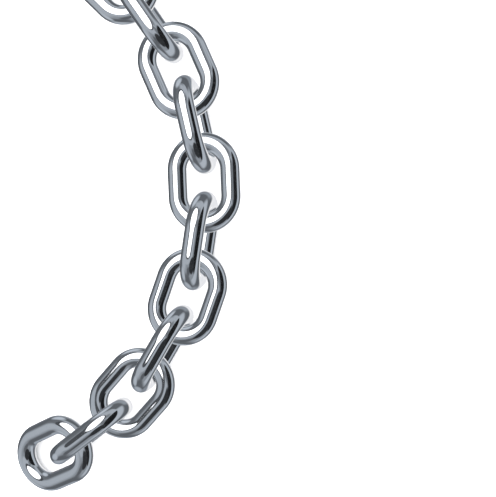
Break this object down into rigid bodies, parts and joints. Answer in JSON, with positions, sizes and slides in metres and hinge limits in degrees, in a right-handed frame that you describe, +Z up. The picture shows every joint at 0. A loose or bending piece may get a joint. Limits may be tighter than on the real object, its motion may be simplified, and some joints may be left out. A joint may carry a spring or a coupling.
{
  "type": "round-link steel chain",
  "caption": "Length of polished round-link steel chain laid slack in an open ring on a level floor, for hooking, hanging, towing or lashing.",
  "frame": {"origin": "middle of the lay's footprint, on the floor that the standing links rest on", "axes": "+Z up from the floor; +X across the ring's full width, with the two free ends of the chain towards -Y and the middle link at +Y"},
  "size_m": [0.4576, 0.392, 0.0493],
  "materials": {
    "polished_steel": "mirror-polished steel, cool blue-grey where it is dark, no rust or paint"
  },
  "bodies": {
    "root": {"link_01": "polished_steel", "link_02": "polished_steel", "link_03": "polished_steel", "link_04": "polished_steel", "link_05": "polished_steel", "link_06": "polished_steel", "link_07": "polished_steel", "link_08": "polished_steel", "link_09": "polished_steel", "link_10": "polished_steel", "link_11": "polished_steel", "link_12": "polished_steel", "link_13": "polished_steel", "link_14": "polished_steel", "link_15": "polished_steel", "link_16": "polished_steel", "link_17": "polished_steel", "link_18": "polished_steel", "link_19": "polished_steel", "link_20": "polished_steel", "link_21": "polished_steel", "link_22": "polished_steel", "link_23": "polished_steel", "link_24": "polished_steel", "link_25": "polished_steel"}
  },
  "joints": []
}
